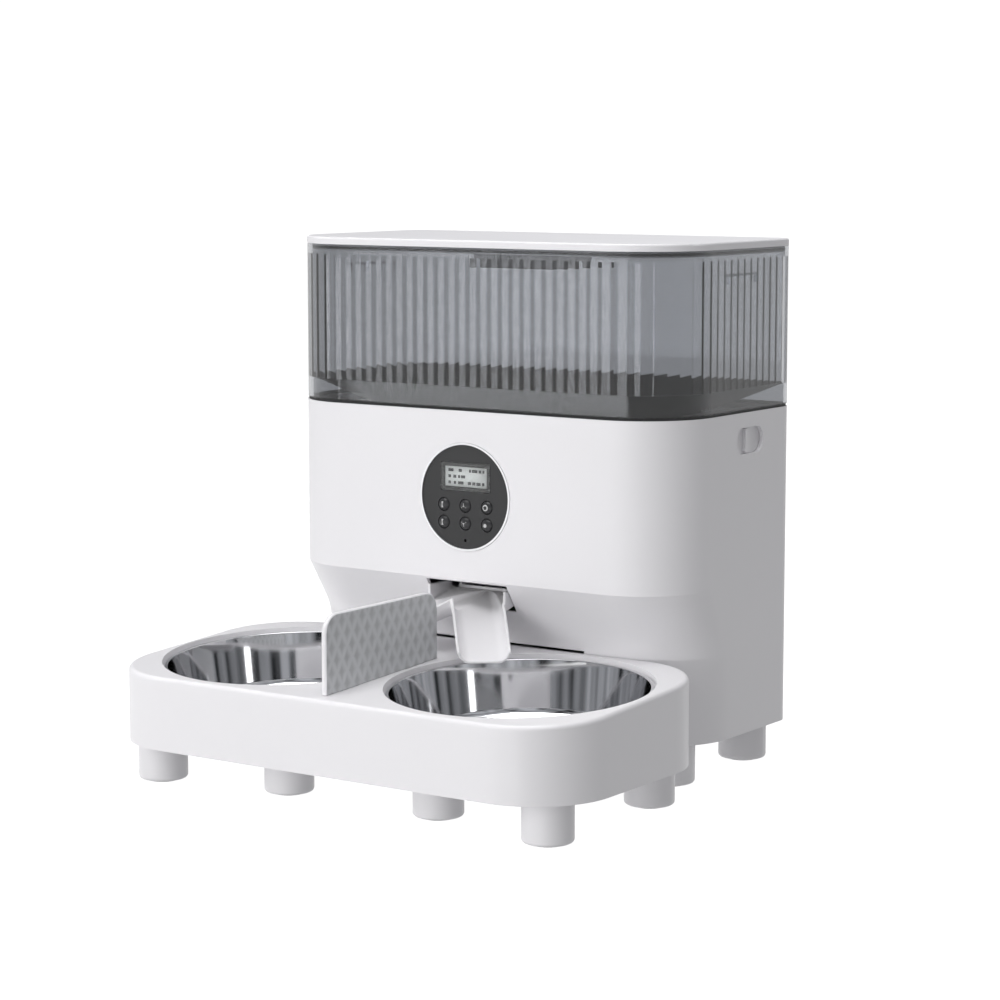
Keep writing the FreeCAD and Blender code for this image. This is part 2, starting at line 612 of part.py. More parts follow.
def control_panel():
    zc = "dim.panel_height"
    ring = cylinder("bezel_outside", 0, "-0.4", zc, "dim.panel_radius", "dim.body_wall + 0.4", "y")
    hollow = cylinder("bezel_inside", 0, "-1", zc, "dim.panel_radius - dim.bezel_width",
                      "dim.body_wall + 3", "y")
    node(cut("bezel_cut", ring, hollow), "panel_bezel")

    disc = cylinder("fascia_disc", 0, "dim.fascia_set", zc, "dim.panel_radius - dim.bezel_width - 0.1",
                    "dim.fascia_thick", "y")
    window = box("window_cut", "-dim.screen_width / 2", "0",
                 zc + " + dim.screen_rise - dim.screen_height / 2",
                 "dim.screen_width", "dim.body_wall + 2", "dim.screen_height")
    tools = [window]
    button_places = []
    for row in range(2):
        for column in (-1, 0, 1):
            x = "%d * dim.button_pitch" % column
            z = "%s - dim.button_drop - %d * dim.button_row" % (zc, row)
            button_places.append((x, z))
            tools.append(cylinder("button_hole%d%d" % (row, column + 1), x, "0", z,
                                  "dim.button_radius + 0.35", "6", "y"))
    dot = (0, zc + " - 29.5")
    tools.append(cylinder("mic_hole", dot[0], "0", dot[1], "1.1", "6", "y"))
    node(cut("fascia_cut", disc, *tools), "panel_fascia")

    node(plate_upright("lens", "dim.screen_width - 0.4", "dim.screen_height - 0.4",
                       "dim.fascia_set - 0.1", "1.2",
                       zc + " + dim.screen_rise"), "display_lens")
    node(plate_upright("display", "dim.screen_width + 3", "dim.screen_height + 3",
                       "dim.fascia_set + dim.fascia_thick + 0.2", "2.6",
                       zc + " + dim.screen_rise"), "display_module")
    node(cylinder("mic_capsule", dot[0], "dim.fascia_set + dim.fascia_thick + 0.2", dot[1], "2.2", "2.4",
                  "y"), "microphone")

    switches = []
    for index, (x, z) in enumerate(button_places, 1):
        cap = cylinder("cap%d" % index, x, "-0.5", z, "dim.button_radius", "5", "y")
        flange = cylinder("cap_flange%d" % index, x, "dim.fascia_set + dim.fascia_thick + 0.2", z,
                          "dim.button_radius + 1", "1.2", "y")
        node(fuse("button_body%d" % index, cap, flange), "button_%d" % index)
        switches.append(box("switch%d" % index, x + " - 2.5", "4.5 + dim.button_travel + 0.5",
                            z + " - 2.5", "5", "2.2", "5"))
    node(fuse("switches", *switches), "tact_switches")
    board_y = "4.5 + dim.button_travel + 0.5 + 2.2"
    node(cylinder("panel_board_body", 0, board_y + " + 0.1", zc, "dim.panel_radius - 3", "1.6", "y"),
         "panel_board")
    cup_out = cylinder("cup_outside", 0, "dim.body_wall + dim.seat", zc, "dim.panel_radius + 3.5",
                       board_y + " + 2", "y")
    cup_in = cylinder("cup_inside", 0, "dim.body_wall", zc, "dim.panel_radius - 2", board_y + " + 0.6",
                      "y")
    node(cut("cup_cut", cup_out, cup_in), "panel_cup")


def plate_upright(name, width, tall, y, thick, z):
    """A small upright plate centred on X = 0."""
    return box(name, "-(%s) / 2" % width, y, "%s - (%s) / 2" % (z, tall), width, thick, tall)


control_panel()


# ---------------------------------------------------------------- side latches

def latch(side, sign):
    """A thumb slider in the side recess, with a pocketed face and an upright rib."""
    wall = "dim.body_width / 2 - dim.body_wall"
    carrier_x = "%s - 3 - dim.seat" % wall if sign > 0 else "-(%s) + dim.seat" % wall
    carrier = box("latch_carrier_" + side, carrier_x,
                  "dim.latch_y - dim.latch_length / 2 - 3 - dim.latch_travel",
                  "dim.latch_z - dim.latch_tall / 2 - 2.5", "3",
                  "dim.latch_length + 6 + dim.latch_travel", "dim.latch_tall + 5")
    rib_x = "%s - dim.seat" % wall if sign > 0 else "-dim.body_width / 2 + 0.6"
    rib = box("latch_rib_" + side, rib_x, "dim.latch_y - 4.5", "dim.latch_z - dim.latch_tall / 2 + 1.2",
              "dim.body_wall + dim.seat - 0.6", "4", "dim.latch_tall - 2.4")
    node(fuse("latch_body_" + side, carrier, rib), "latch_" + side)


latch("left", -1)
latch("right", 1)


# ---------------------------------------------------------------- hopper and lid

def fluted_wire(half, front, rear, front_radius, rear_radius, z):
    """The inside of the hopper: a rounded rectangle whose line is a row of shallow arcs."""
    base = outline(half, front, rear, front_radius, rear_radius, z)
    count = int(base.Length / size("flute_pitch"))
    ring = base.discretize(count + 1)[:-1]
    edges = []
    middle = Vector(0, (front + rear) / 2, z)
    for start, end in zip(ring, ring[1:] + ring[:1]):
        centre = (start + end) * 0.5
        along = (end - start).normalize()
        inward = Vector(-along.y, along.x, 0)
        if inward.dot(middle - centre) < 0:
            inward = inward * -1
        edges.append(Part.Arc(start, centre + inward * size("flute_depth"), end).toShape())
    return Part.Wire(edges)


def hopper():
    half, rear = size("body_width") / 2, size("body_depth")
    low = size("body_top") + size("seal_height")
    radii = (size("front_corner"), size("rear_corner"))
    wall = size("tank_wall")
    inside_radii = (radii[0] - wall, radii[1] - wall)
    outer = prism(outline(half, 0, rear, radii[0], radii[1], low), size("tank_height"))
    rim_depth = size("plug_height") + 3
    body = outer.cut(prism(fluted_wire(half - wall, wall, rear - wall, inside_radii[0], inside_radii[1],
                                       low - 1),
                           size("tank_height") + 2))
    rim = prism(outline(half - wall, wall, rear - wall, inside_radii[0], inside_radii[1],
                        low + size("tank_height") - rim_depth), rim_depth + 1)
    foot = prism(outline(half - wall, wall, rear - wall, inside_radii[0], inside_radii[1], low - 1),
                 size("funnel_rim") + 1)
    node(solid("tank", body.cut(rim).cut(foot)), "hopper_tank")

    seal = prism(outline(half - 0.8, 0.8, rear - 0.8, radii[0] - 0.8, radii[1] - 0.8, size("body_top")),
                 size("seal_height"))
    seal_hole = prism(outline(half - 7, 7, rear - 7, radii[0] - 7, radii[1] - 7, size("body_top") - 1),
                      size("seal_height") + 2)
    node(solid("seal_ring", seal.cut(seal_hole)), "hopper_seal")

    node(solid("funnel", funnel_shape(low)), "hopper_funnel")


def funnel_shape(low):
    """A four-sided funnel from the hopper's walls down to the round outlet over the drum."""
    inset = size("tank_wall") + size("seat")
    half, front, rear = size("body_width") / 2 - inset, inset, size("body_depth") - inset
    rim_z = low + size("funnel_rim")
    end_z = rim_z - size("funnel_drop")
    wall = size("funnel_wall")

    def side(offset, top, bottom):
        upper = outline(half - offset, front + offset, rear - offset,
                        size("front_corner") - inset - offset,
                        size("rear_corner") - inset - offset, top)
        reach = size("funnel_outlet") + wall - offset
        y = size("drum_y")
        lower = outline(reach, y - reach, y + reach, reach * 0.98, reach * 0.98, bottom)
        return Part.makeLoft([upper, lower], True, True)

    return side(0, rim_z, end_z).cut(side(wall, rim_z + 0.01, end_z - 0.01))


def hopper_catches():
    """The two small bracket-shaped catches on the hopper's inner side walls."""
    top = "dim.body_top + dim.seal_height + dim.tank_height"
    for side, x in (("left", "-dim.body_width / 2 + dim.tank_wall + dim.flute_depth"),
                    ("right", "dim.body_width / 2 - dim.tank_wall - dim.flute_depth - 2")):
        bar = box("catch_bar_" + side, x, "76", top + " - 18", "2", "38", "1.6")
        legs = [box("catch_leg_%s%d" % (side, k), x, y, top + " - 23", "2", "1.6", "6") for k,
                y in enumerate(("76", "112.4"))]
        node(fuse("catch_" + side, bar, *legs), "hopper_catch_" + side)


def lid():
    half, rear = size("body_width") / 2, size("body_depth")
    radii = (size("front_corner"), size("rear_corner"))
    low = size("body_top") + size("seal_height") + size("tank_height")
    top = prism(outline(half, 0, rear, radii[0], radii[1], low), size("lid_height"))
    highest = low + size("lid_height")
    edge_loop = [edge for edge in top.Edges if abs(edge.CenterOfMass.z - highest) < 1e-6]
    node(solid("lid_top", top.makeFillet(size("lid_edge"), edge_loop)), "lid")

    inset = size("tank_wall") + size("plug_play")
    plug = size("plug_height")
    drop, tall, play = size("seal_drop"), size("seal_groove"), size("seal_play")

    def layer(offset, bottom, height):
        """A slab in the hopper's outline, offset inwards."""
        return prism(outline(half - offset, offset, rear - offset, radii[0] - offset, radii[1] - offset,
                             low - bottom), height)

    rim = layer(inset, plug, plug)
    hole = layer(inset + size("plug_wall"), plug + 1, plug + 2)
    groove = layer(inset - 1, drop, tall).cut(layer(inset + 1, drop, tall))
    node(solid("lid_rim", rim.cut(hole).cut(groove)), "lid_rim")
    ring = layer(inset - 0.5, drop - play, tall - 2 * play)
    ring_core = layer(inset + 0.9, drop + 1, tall + 2)
    node(solid("lid_ring", ring.cut(ring_core)), "lid_seal")


def desiccant():
    top = "dim.body_top + dim.seal_height + dim.tank_height"
    case = plate("desiccant_case", "-35", "dim.body_depth / 2 - 25", top + " - 16", "70", "50",
                 "16 - dim.seat", "6", "6")
    hollow = box("desiccant_hollow", "-32.5", "dim.body_depth / 2 - 22.5", top + " - 14", "65", "45",
                 "16")
    slots = [box("desiccant_slot%d" % k, "-26 + %d * 9" % k, "dim.body_depth / 2 - 17", top + " - 17",
                 "4", "34", "5")
             for k in range(6)]
    node(cut("desiccant_cut", case, hollow, *slots), "desiccant_box")
    node(box("desiccant_bag", "-31", "dim.body_depth / 2 - 21", top + " - 13.5", "62", "42", "8"),
         "desiccant_pack")


hopper()
hopper_catches()
lid()
desiccant()


# ---------------------------------------------------------------- chute

def chute_floor(y):
    """Height of the chute's underside on X = 0."""
    along = size("leg_reach") + (y - size("chute_origin")) * math.cos(math.radians(size("leg_turn")))
    return size("mouth_height") + along * size("leg_fall") / size("leg_reach")


def side_profile(points, half):
    """A closed outline of y and z pairs, extruded over the width to both sides of X = 0."""
    corners = [Vector(-half, y, z) for y, z in points]
    return Part.Face(Part.makePolygon(corners + corners[:1])).extrude(Vector(2 * half, 0, 0))


def leg(inset, side):
    """One leg, or the room in it when inset is the wall, turned to one side."""
    reach, mouth = size("leg_reach"), size("mouth_height")
    rise = size("leg_fall") / reach
    start, end = size("leg_start") + inset, -reach - 3 * inset
    half = size("leg_width") / 2 - inset
    low = mouth + inset
    profile = ((start, low + (reach + start) * rise), (end, low + (reach + end) * rise),
               (end, mouth + size("mouth_side") + 3 * inset), (-size("leg_level"),
                                                               size("leg_top") + 3 * inset),
               (start, size("leg_top") + 3 * inset))
    shape = round_floor(side_profile(profile, half), size("leg_round") - inset)
    shape.rotate(Vector(), Vector(0, 0, 1), side * size("leg_turn"))
    shape.translate(Vector(0, size("chute_origin"), 0))
    return shape


def neck(inset):
    """The stretch under the lip that joins both legs, or the room in it."""
    half = size("slot_width") / 2 - size("slot_play") - inset
    turn = math.radians(size("leg_turn"))
    side = size("leg_width") / 2
    front = size("chute_origin") - (half + inset) / math.tan(turn) + side / math.sin(turn)
    rear = chute_rear() + 2 * inset
    return side_profile(((front, chute_floor(front) + inset), (rear, chute_floor(rear) + inset),
                         (rear, size("leg_top") + inset), (front, size("leg_top") + inset)), half)


def chute_rear():
    return size("recess_depth") + size("body_wall") + size("duct_play") / 2


def chute():
    """Two open troughs that part under the lip and end over the bowls."""
    wall = size("leg_wall")
    whole = neck(0).fuse([leg(0, -1), leg(0, 1)])
    room = neck(wall).fuse([leg(wall, -1), leg(wall, 1)])
    half = size("slot_width") / 2 - size("slot_play")
    inside = Part.makeBox(2 * half, chute_rear() + 1, size("leg_top"), Vector(-half, -1, 0))
    ahead = Part.makeBox(4 * size("leg_reach"), 2 * size("leg_reach"), 2 * size("leg_top"),
                         Vector(-2 * size("leg_reach"), -2 * size("leg_reach"), 0))
    node(solid("chute_body", whole.cut(room).common(inside.fuse(ahead))), "chute")


def round_floor(trough, radius):
    """Round the two lower edges that run down a leg before it is turned."""
    picked = [edge for edge in trough.Edges if edge.BoundBox.YLength > size("leg_reach") / 2
              and edge.BoundBox.ZMin < size("mouth_height") + 2 * size("leg_wall")]
    return trough.makeFillet(radius, picked)


chute()
duct()


# ---------------------------------------------------------------- tray, bowls and divider

def tray_slope():
    """Angle of the tray's top, in degrees."""
    return math.degrees(math.atan(size("tray_rise") / (size("tray_reach") + size("recess_depth"))))


def surface(y):
    """Height of the tray's top at y."""
    rise = (y + size("tray_reach")) * math.tan(math.radians(tray_slope()))
    return size("foot_height") + size("tray_front") + rise


def tray_block(inset, drop):
    """The tray's outside, or its inside when inset is the wall, cut by the sloping top."""
    front, rear = -size("tray_reach") + inset, size("recess_depth") - size("gap") - inset
    radius = size("tray_corner") - inset
    block = prism(outline(size("tray_width") / 2 - inset, front, rear, radius, radius,
                          size("foot_height")), 80)
    slab = Part.makeBox(600, 500, 100, Vector(-300, 0, 0))
    slab.rotate(Vector(), Vector(1, 0, 0), tray_slope())
    start = -size("tray_reach") - 20
    slab.translate(Vector(0, start, surface(start) - drop))
    return block.cut(slab)


def tilted(shape, x, y, z):
    """Lay a shape made about the origin on the tray's sloping plane."""
    shape.rotate(Vector(), Vector(1, 0, 0), tray_slope())
    shape.translate(Vector(x, y, z))
    return shape


def tray():
    outer = tray_block(0, 0)
    level = max(vertex.Z for vertex in outer.Vertexes)
    lowest = size("foot_height") + size("tray_front") - 1
    top_edges = [edge for edge in outer.Edges if edge.BoundBox.ZMin > lowest
                 and edge.BoundBox.ZMax <= level + 1 and not upright(edge)]
    outer = outer.makeFillet(size("tray_edge"), top_edges)
    hollow = tray_block(size("tray_wall"), size("tray_wall"))
    floor = prism(outline(size("tray_width") / 2, -size("tray_reach"), size("recess_depth") - size("gap"),
                          size("tray_corner"), size("tray_corner"), size("foot_height")), size("tray_floor"))
    shell = outer.cut(hollow).fuse(floor.common(outer))
    hole = size("bowl_radius") + size("bowl_wall") + size("bowl_play")
    seat = size("bowl_radius") + size("bowl_flange") + size("bowl_play")
    sink = size("bowl_sink")
    for side in (-1, 1):
        collar = well(side, seat + size("tray_wall"), -sink - size("tray_wall"), -size("tray_wall") / 2)
        shell = shell.fuse(collar.common(outer))
        shell = shell.cut(well(side, seat, -sink, size("tray_rise")))
        shell = shell.cut(well(side, hole, -2 * sink - size("tray_wall"), size("tray_rise")))
    for y in tenon_places():
        shell = shell.cut(tenon(y, size("gap")))
    tongue = Part.makeBox(size("tongue_width"), size("tongue_reach") + 2 * size("tray_wall"),
                          size("tongue_thick"),
                          Vector(-size("tongue_width") / 2,
                                 size("recess_depth") - size("gap") - 2 * size("tray_wall"),
                                 surface(size("recess_depth")) - size("tray_wall") - size("tongue_thick")))
    node(solid("tray", shell.fuse(tongue)), "tray")


def well(side, radius, low, high):
    """A cylinder square to the tray's slope, between two heights over its surface."""
    shape = Part.makeCylinder(radius, high - low, Vector(0, 0, low))
    return tilted(shape, side * size("bowl_pitch") / 2, bowl_y(), surface(bowl_y()))


def tenon(y, play):
    """One of the divider's tenons, or the hole for it when play is the clearance."""
    thick = size("divider_thick") - 2 * size("tenon_set") + 2 * play
    length = size("tenon_length") + 2 * play
    return Part.makeBox(thick, length, size("tenon") + 2 * size("tray_wall") + 2 * play,
                        Vector(-thick / 2, y - length / 2, surface(y) - size("tenon") - play))


def bowl_y():
    """The bowls stand in the middle of the tray's depth."""
    return (size("recess_depth") - size("tray_reach")) / 2.0 - 0.5


def tenon_places():
    front = -size("tray_reach") + size("divider_front")
    return front + 25, front + size("divider_length") - 25


def bowl(side, label):
    """A round steel bowl with steep walls, a rounded floor corner and a flat rim."""
    radius, wall, depth = size("bowl_radius"), size("bowl_wall"), size("bowl_depth")
    low, flange, thick = radius - size("bowl_taper"), radius + size("bowl_flange"), size("rim_thick")
    section = [Vector(0, 0, -depth - wall), Vector(low + wall, 0, -depth - wall),
               Vector(radius + wall, 0, 0),
               Vector(flange, 0, 0), Vector(flange, 0, thick), Vector(radius, 0, thick),
               Vector(low, 0, -depth), Vector(0, 0, -depth)]
    face = Part.Face(Part.makePolygon(section + section[:1]))
    shape = face.revolve(Vector(), Vector(0, 0, 1), 360)
    for level, corner in ((-depth, size("bowl_round")), (-depth - wall, size("bowl_round") + wall)):
        edges = [edge for edge in shape.Edges if abs(edge.BoundBox.ZMin - level) < wall / 4
                 and abs(edge.BoundBox.ZMax - level) < wall / 4 and edge.BoundBox.XLength > radius]
        shape = shape.makeFillet(corner, edges)
    y = bowl_y()
    node(solid(label + "_body", tilted(shape, side * size("bowl_pitch") / 2, y,
                                       surface(y) - size("bowl_sink") + size("seat"))), label)


def divider():
    thick = size("divider_thick")
    front = -size("tray_reach") + size("divider_front")
    rear = front + size("divider_length")
    top = size("foot_height") + size("tray_front") + size("divider_height") + 4
    low_front, low_rear = surface(front) + 0.3, surface(rear) + 0.3
    x = -thick / 2
    corners = [Vector(x, front, low_front), Vector(x, rear, low_rear), Vector(x, rear, top),
               Vector(x, front, top)]
    blade = Part.Face(Part.makePolygon(corners + [corners[0]])).extrude(Vector(thick, 0, 0))
    corner_edges = [edge for edge in blade.Edges
                    if edge.BoundBox.XLength > thick - 0.1 and edge.BoundBox.ZMin > top - 0.1]
    blade = blade.makeFillet(size("divider_corner"), corner_edges)
    for y in tenon_places():
        blade = blade.fuse(tenon(y, 0))
    node(solid("divider_body", blade), "bowl_divider")


tray()
bowl(-1, "bowl_left")
bowl(1, "bowl_right")
divider()


# ---------------------------------------------------------------- feet and screws

def feet(prefix, places):
    posts, pads = [], []
    for index, (x, y) in enumerate(places, 1):
        body = doc.addObject("PartDesign::Body", "%s_foot%d" % (prefix, index))
        block = body.newObject("PartDesign::AdditiveCylinder", "%s_foot%d_block" % (prefix, index))
        bind(block, Radius="dim.foot_radius", Height="dim.foot_height - 1 - dim.seat")
        body.Tip = block
        bind(body, x=x, y=y, z="1")
        doc.recompute()
        round_edges(body, block, "%s_foot%d_round" % (prefix, index), "dim.foot_round",
                    lambda edge, c: abs(c.z) < 1e-6 and edge.BoundBox.XLength > 1)
        socket = cylinder("%s_socket%d" % (prefix, index), x, y, "0", "dim.pad_radius + dim.seat",
                          "dim.pad_height + 0.2")
        posts.append(cut("%s_foot_cut%d" % (prefix, index), body, socket))
        pads.append(cylinder("%s_pad%d" % (prefix, index), x, y, "0", "dim.pad_radius", "dim.pad_height"))
    node(fuse(prefix + "_posts", *posts), prefix + "_feet")
    node(fuse(prefix + "_pads", *pads), prefix + "_foot_pads")


TRAY_FEET = [(x, y) for y in ("-dim.tray_reach + 33",) for x in ("-155", "155")]
TRAY_FEET += [(x, "-dim.tray_reach + 50") for x in ("-60.5", "60.5")]
TRAY_FEET += [(x, "-12") for x in ("-154", "154")]
BODY_FEET = [(x, y) for y in ("dim.recess_depth + 24.5", "dim.body_depth - 19.5")
             for x in ("-133", "133")]
feet("tray", TRAY_FEET)
feet("body", BODY_FEET)


def base_screws():
    screws = []
    for k, (x, y) in enumerate((("-90", "dim.recess_depth + 22"), ("90", "dim.recess_depth + 22"),
                                ("-90", "dim.body_depth - 14"), ("90", "dim.body_depth - 14"))):
        screws.append(cylinder("screw_head%d" % k, x, y, "dim.foot_height - 1.6", "3.4", "1.6"))
    node(fuse("screws", *screws), "base_screws")
    rim = cylinder("speaker_rim", "-112", "dim.drum_y", "dim.foot_height + dim.plate_thick + dim.seat",
                   "20", "5")
    magnet = cylinder("speaker_magnet", "-112", "dim.drum_y",
                      "dim.foot_height + dim.plate_thick + dim.seat + 5", "11", "6")
    node(fuse("speaker_body", rim, magnet), "speaker")


base_screws()


# ---------------------------------------------------------------- checks and export

doc.recompute()
for obj in doc.Objects:
    if "Invalid" in obj.State or "Error" in obj.State:
        raise RuntimeError("%s did not rebuild: %s" % (obj.Label, obj.State))
for obj in nodes:
    if obj.Shape.isNull() or not obj.Shape.isValid():
        raise RuntimeError("%s has no valid shape" % obj.Label)
    obj.Shape.exportStep("parts/%s.step" % obj.Label)
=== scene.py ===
import json
import math

import bmesh
import bpy
from mathutils import Matrix, Vector


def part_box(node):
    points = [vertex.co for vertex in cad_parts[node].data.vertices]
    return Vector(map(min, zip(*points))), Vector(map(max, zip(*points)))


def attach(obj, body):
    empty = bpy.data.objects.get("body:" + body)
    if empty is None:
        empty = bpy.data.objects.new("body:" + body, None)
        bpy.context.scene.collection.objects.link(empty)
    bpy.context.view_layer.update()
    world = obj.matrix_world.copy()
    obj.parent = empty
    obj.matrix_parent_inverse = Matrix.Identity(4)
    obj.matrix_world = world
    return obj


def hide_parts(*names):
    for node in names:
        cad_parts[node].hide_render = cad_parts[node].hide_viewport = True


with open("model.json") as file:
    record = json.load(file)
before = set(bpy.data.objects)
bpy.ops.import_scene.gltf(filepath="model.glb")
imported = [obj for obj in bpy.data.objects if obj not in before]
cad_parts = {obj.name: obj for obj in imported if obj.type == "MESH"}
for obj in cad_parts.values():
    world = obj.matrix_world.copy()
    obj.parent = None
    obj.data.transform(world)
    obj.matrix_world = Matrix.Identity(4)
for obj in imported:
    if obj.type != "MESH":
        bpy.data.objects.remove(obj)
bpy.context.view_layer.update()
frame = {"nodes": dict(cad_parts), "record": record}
nodes = frame["nodes"]
MM = 0.001


# ---------------------------------------------------------------- materials

def shader(name, color, roughness, **sockets):
    """A Principled material whose even values sit on the shader's own sockets."""
    material = bpy.data.materials.new(name)
    material.use_nodes = True
    main = material.node_tree.nodes["Principled BSDF"]
    main.inputs["Base Color"].default_value = (*color, 1)
    main.inputs["Roughness"].default_value = roughness
    for socket, value in sockets.items():
        main.inputs[socket.replace("_", " ")].default_value = value
    return material, material.node_tree, main


def noise(tree, scale, detail, stretch=(1, 1, 1)):
    """Noise in the object's own metres, so that it holds still on a moving piece."""
    place = tree.nodes.new("ShaderNodeTexCoord")
    turn = tree.nodes.new("ShaderNodeMapping")
    turn.inputs["Scale"].default_value = stretch
    cloud = tree.nodes.new("ShaderNodeTexNoise")
    cloud.inputs["Scale"].default_value = scale
    cloud.inputs["Detail"].default_value = detail
    tree.links.new(place.outputs["Object"], turn.inputs["Vector"])
    tree.links.new(turn.outputs["Vector"], cloud.inputs["Vector"])
    return cloud


def tint(tree, main, cloud, low, high):
    """Colour that wanders between two near tones."""
    ramp = tree.nodes.new("ShaderNodeValToRGB")
    ramp.color_ramp.elements[0].position = 0.3
    ramp.color_ramp.elements[1].position = 0.7
    ramp.color_ramp.elements[0].color = (*low, 1)
    ramp.color_ramp.elements[1].color = (*high, 1)
    tree.links.new(cloud.outputs["Fac"], ramp.inputs["Fac"])
    tree.links.new(ramp.outputs["Color"], main.inputs["Base Color"])


def rough(tree, main, cloud, low, high):
    spread = tree.nodes.new("ShaderNodeMapRange")
    spread.inputs["To Min"].default_value = low
    spread.inputs["To Max"].default_value = high
    tree.links.new(cloud.outputs["Fac"], spread.inputs["Value"])
    tree.links.new(spread.outputs["Result"], main.inputs["Roughness"])


def bump(tree, main, cloud, strength, depth):
    raised = tree.nodes.new("ShaderNodeBump")
    raised.inputs["Strength"].default_value = strength
    raised.inputs["Distance"].default_value = depth
    tree.links.new(cloud.outputs["Fac"], raised.inputs["Height"])
    tree.links.new(raised.outputs["Normal"], main.inputs["Normal"])


FINE_GRAIN = 2500
GRAIN_DEPTH = 0.02 * MM
GRAIN_STRENGTH = 0.25
SHEEN_SPREAD = 0.04


def moulded(name, color, roughness, grain=FINE_GRAIN, depth=GRAIN_DEPTH, spread=0.015):
    """Moulded plastic or rubber: a fine grain and a slight unevenness of tone and sheen."""
    material, tree, main = shader(name, color, roughness)
    broad = noise(tree, 14, 3)
    low = tuple(c * (1 - spread) for c in color)
    high = tuple(min(1, c * (1 + spread)) for c in color)
    tint(tree, main, broad, low, high)
    rough(tree, main, broad, roughness - SHEEN_SPREAD, roughness + SHEEN_SPREAD)
    bump(tree, main, noise(tree, grain, 2), GRAIN_STRENGTH, depth)
    return material


def metal(name, color, roughness, stretch=(1, 1, 1), grain=1800, depth=0.000004):
    """Metal with fine drawn or turned lines."""
    material, tree, main = shader(name, color, roughness, Metallic=1.0)
    lines = noise(tree, grain, 3, stretch)
    tint(tree, main, noise(tree, 20, 2), tuple(c * 0.97 for c in color), color)
    rough(tree, main, lines, roughness * 0.8, roughness * 1.3)
    bump(tree, main, lines, 0.2, depth)
    return material


def clear(name, color, roughness):
    """Clear plastic, tinted in its mass."""
    material, tree, main = shader(name, color, roughness, Transmission_Weight=1.0, IOR=1.45)
    bump(tree, main, noise(tree, 60, 2), 0.05, 0.00005)
    return material


def math_node(tree, operation, *values):
    """A maths node fed by numbers or other nodes' outputs."""
    node = tree.nodes.new("ShaderNodeMath")
    node.operation = operation
    for socket, value in zip(node.inputs, values):
        if isinstance(value, (int, float)):
            socket.default_value = value
        else:
            tree.links.new(value, socket)
    return node.outputs[0]


def painted_shade_lozenges(name, light, dark, roughness):
    """A grey face with tall diamond hollows, whose colour puts painted shade in the hollows: a darker
    grey at their centres than on the ridges between them.
    """
    material, tree, main = shader(name, light, roughness)
    place = tree.nodes.new("ShaderNodeTexCoord")
    split = tree.nodes.new("ShaderNodeSeparateXYZ")
    tree.links.new(place.outputs["Object"], split.inputs["Vector"])
    across = math_node(tree, "DIVIDE", split.outputs["Y"], RELIEF["pitch"])
    up = math_node(tree, "DIVIDE", split.outputs["Z"], RELIEF["repeat"])
    nearest = []
    for operation in ("ADD", "SUBTRACT"):
        line = math_node(tree, "FRACT", math_node(tree, operation, across, up))
        nearest.append(math_node(tree, "ABSOLUTE", math_node(tree, "SUBTRACT", line, 0.5)))
    near = math_node(tree, "MAXIMUM", *nearest)
    # Painted shade: the centres of the hollows take the dark grey, and the ridges keep the light grey.
    ramp = tree.nodes.new("ShaderNodeValToRGB")
    ramp.color_ramp.elements[0].position = HOLLOW_END
    ramp.color_ramp.elements[1].position = RIDGE_START
    ramp.color_ramp.elements[0].color = (*dark, 1)
    ramp.color_ramp.elements[1].color = (*light, 1)
    tree.links.new(near, ramp.inputs["Fac"])
    tree.links.new(ramp.outputs["Color"], main.inputs["Base Color"])
    bump(tree, main, noise(tree, FINE_GRAIN, 2), GRAIN_STRENGTH, GRAIN_DEPTH)
    return material


# The divider's diamonds, and where a hollow ends and a ridge begins as a share of half a diamond; the
# same span fades the painted shade of the hollows into the ridge grey.
HOLLOW_END, RIDGE_START = 0.12, 0.42
RELIEF = {"pitch": 10.6 * MM, "repeat": 16.5 * MM, "depth": 0.35 * MM, "border": 1.6 * MM}
WHITE = (0.80, 0.79, 0.81)
finish = {
    "white_shell": moulded("white_shell", WHITE, 0.38, spread=0.006),
    "grey_inner": moulded("grey_inner", (0.3, 0.3, 0.31), 0.55),
    "dark_inner": moulded("dark_inner", (0.02, 0.02, 0.021), 0.5),
    "cell_wrap": moulded("cell_wrap", (0.02, 0.03, 0.05), 0.3),
    "steel": metal("steel", (0.6, 0.6, 0.62), 0.3),
    "black_part": moulded("black_part", (0.02, 0.02, 0.02), 0.5),
    "circuit_board": moulded("circuit_board", (0.01, 0.09, 0.035), 0.35),
    "brass": metal("brass", (0.7, 0.5, 0.22), 0.25),
    "bright_trim": metal("bright_trim", (0.9, 0.9, 0.92), 0.3),
    "dark_panel": moulded("dark_panel", (0.027, 0.027, 0.028), 0.5, spread=0.04),
    "clear_window": clear("clear_window", (0.9, 0.92, 0.92), 0.02),
    "display": moulded("display", (0.88, 0.88, 0.87), 0.4, spread=0.05),
    "grey_rubber": moulded("grey_rubber", (0.2, 0.2, 0.21), 0.7, depth=0.00004),
    "black_rubber": moulded("black_rubber", (0.012, 0.012, 0.013), 0.6, depth=0.00004),
    "gear_plastic": moulded("gear_plastic", (0.7, 0.68, 0.58), 0.4),
    "smoked_clear": clear("smoked_clear", (0.385, 0.395, 0.415), 0.03),
    "paper_pack": moulded("paper_pack", (0.75, 0.75, 0.72), 0.85, grain=900, depth=0.0001),
    # The divider's face: its second, darker grey is painted shade in the diamond hollows.
    "grey_panel": painted_shade_lozenges("grey_panel", (0.60, 0.61, 0.625), (0.46, 0.47, 0.48), 0.5),
    "polished_steel": metal("polished_steel", (0.78, 0.78, 0.79), 0.06),
    "button_rubber": moulded("button_rubber", (0.035, 0.035, 0.037), 0.28, spread=0.05),
    "mark_print": moulded("mark_print", (0.5, 0.5, 0.5), 0.5, spread=0.02),
    "mark_dark": moulded("mark_dark", (0.05, 0.05, 0.052), 0.5, spread=0.02),
}

for row in frame["record"]["subparts"]:
    mesh = nodes[row["node"]].data
    mesh.materials.clear()
    mesh.materials.append(finish[row["material_slot"]])


# ---------------------------------------------------------------- mesh helpers

